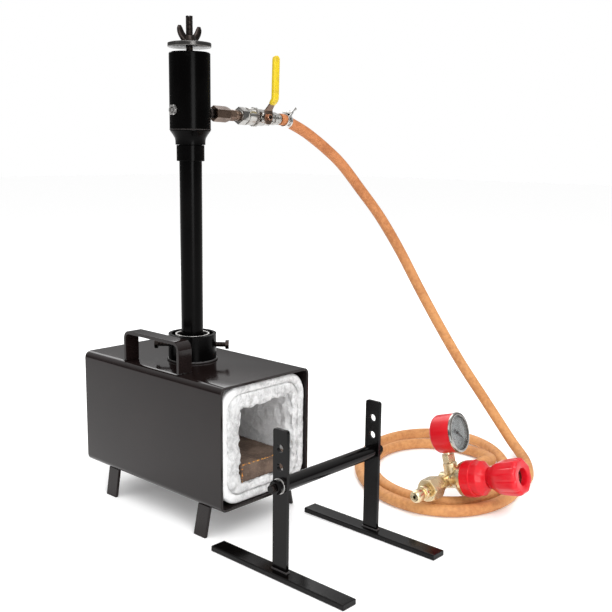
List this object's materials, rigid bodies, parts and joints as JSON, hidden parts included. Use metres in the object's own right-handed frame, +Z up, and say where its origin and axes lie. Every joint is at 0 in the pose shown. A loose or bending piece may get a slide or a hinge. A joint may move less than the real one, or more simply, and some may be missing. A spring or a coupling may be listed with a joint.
{
  "type": "gas forge",
  "caption": "Small propane forge: blanket-lined steel box on four legs, tall top burner with air choke and lever valve, hose, gauge regulator and a separate bar rest.",
  "frame": {"origin": "on the floor, under the middle of the bounding box of the rigid parts: the forge, its burner with the gas valve and hose clamp, and the work rest. The hose and the regulator at its end are left out of that box", "axes": "+Z up along the burner; the chamber opens toward -Y, where the work rest stands; the gas line leaves the burner toward +X and the carrying handle is on the -X side of the top"},
  "size_m": [0.6748, 0.6034, 0.7401],
  "materials": {
    "black_enamel": "gloss",
    "bright_steel": "satin",
    "dark_steel": "satin",
    "nickel_plate": "polished",
    "pale_brass": "satin",
    "ceramic_blanket": "matte",
    "fire_brick": "matte",
    "orange_hose": "satin",
    "red_enamel": "gloss",
    "red_plastic": "gloss",
    "yellow_vinyl": "satin",
    "dial_white": "matte",
    "gauge_glass": "gloss"
  },
  "bodies": {
    "forge": {"shell": "black_enamel", "rear_plate": "black_enamel", "blanket_outer": "ceramic_blanket", "blanket_inner": "ceramic_blanket", "rear_blanket": "ceramic_blanket", "floor_brick": "fire_brick", "leg_front_left": "black_enamel", "leg_front_right": "black_enamel", "leg_rear_left": "black_enamel", "leg_rear_right": "black_enamel", "carry_handle": "black_enamel", "burner_collar": "black_enamel", "gas_hose": "orange_hose", "regulator_body": "pale_brass", "regulator_bonnet": "red_enamel", "regulator_diaphragm": "dark_steel", "inlet_nipple": "pale_brass", "outlet_barb": "pale_brass", "gauge_stem": "pale_brass", "gauge_case": "red_enamel", "gauge_bezel": "nickel_plate", "gauge_dial": "dial_white", "gauge_glass": "gauge_glass"},
    "burner": {"burner_nozzle": "bright_steel", "burner_tube": "black_enamel", "tube_coupling": "black_enamel", "bell_reducer": "black_enamel", "mixing_tube": "black_enamel", "choke_bridge": "dark_steel", "choke_rod": "dark_steel", "gas_pipe": "black_enamel", "gas_jet": "pale_brass", "pipe_plug": "bright_steel", "flare_nut": "dark_steel", "gas_adapter": "dark_steel", "valve_body": "nickel_plate", "packing_nut": "nickel_plate", "hose_barb": "nickel_plate", "hose_clamp": "bright_steel", "hose_end": "orange_hose"},
    "choke": {"choke_disc": "dark_steel"},
    "wing_nut": {"wing_nut": "dark_steel"},
    "valve_lever": {"valve_ball": "bright_steel", "valve_stem": "dark_steel", "valve_lever": "dark_steel", "lever_nut": "bright_steel", "lever_grip": "yellow_vinyl"},
    "set_screw_left": {"set_screw_left": "dark_steel"},
    "set_screw_right": {"set_screw_right": "dark_steel"},
    "pressure_screw": {"adjusting_screw": "pale_brass"},
    "pressure_knob": {"regulator_knob": "red_plastic"},
    "gauge_needle": {"gauge_needle": "dark_steel"},
    "inlet_nut": {"inlet_nut": "pale_brass"},
    "work_rest": {"rest_base_left": "black_enamel", "rest_base_right": "black_enamel", "rest_upright_left": "black_enamel", "rest_upright_right": "black_enamel", "rest_bar": "black_enamel", "rest_nut_left": "black_enamel", "rest_nut_right": "black_enamel"}
  },
  "joints": [
    {"name": "burner_lift", "type": "slide", "parent": "forge", "child": "burner", "axis": [0, 0, 1], "range_m": [0, 0.05]},
    {"name": "choke_gap", "type": "slide", "parent": "burner", "child": "choke", "axis": [0, 0, 1], "range_m": [-0.006, 0.018]},
    {"name": "wing_nut_turn", "type": "hinge", "parent": "choke", "child": "wing_nut", "pos_m": [-0.05, 0.124, 0.703], "axis": [0, 0, 1], "range_deg": [-1440, 4320]},
    {"name": "valve_turn", "type": "hinge", "parent": "burner", "child": "valve_lever", "pos_m": [0.09294, 0.124, 0.59976], "axis": [0, -1, 0], "range_deg": [0, 90]},
    {"name": "set_screw_left_back_off", "type": "slide", "parent": "forge", "child": "set_screw_left", "axis": [-0.6756, 0.7373, 0], "range_m": [0, 0.01]},
    {"name": "set_screw_right_back_off", "type": "slide", "parent": "forge", "child": "set_screw_right", "axis": [0.6756, -0.7373, 0], "range_m": [0, 0.01]},
    {"name": "pressure_screw_travel", "type": "slide", "parent": "forge", "child": "pressure_screw", "axis": [0.0503, -0.9599, 0.2756], "range_m": [-0.0032, 0.004]},
    {"name": "pressure_knob_turn", "type": "hinge", "parent": "pressure_screw", "child": "pressure_knob", "pos_m": [0.2085, -0.187, 0.042], "axis": [0.0503, -0.9599, 0.2756], "range_deg": [-576, 720]},
    {"name": "gauge_needle_turn", "type": "hinge", "parent": "forge", "child": "gauge_needle", "pos_m": [0.21052, -0.19722, 0.1209], "axis": [-0.1112, 0.955, -0.2751], "range_deg": [0, 270], "stiffness_Nm_per_rad": 0.001},
    {"name": "inlet_nut_turn", "type": "hinge", "parent": "forge", "child": "inlet_nut", "pos_m": [0.2085, -0.187, 0.042], "axis": [0.9986, 0.0523, 0], "continuous": true},
    {"name": "work_rest_distance", "type": "slide", "parent": "forge", "child": "work_rest", "axis": [0, -1, 0], "range_m": [0, 0.1]}
  ],
  "couplings": [
    {"joint": "choke_gap", "follows": "wing_nut_turn", "m_per_rad": 0.00023873},
    {"joint": "pressure_screw_travel", "follows": "pressure_knob_turn", "m_per_rad": 0.00031831}
  ]
}
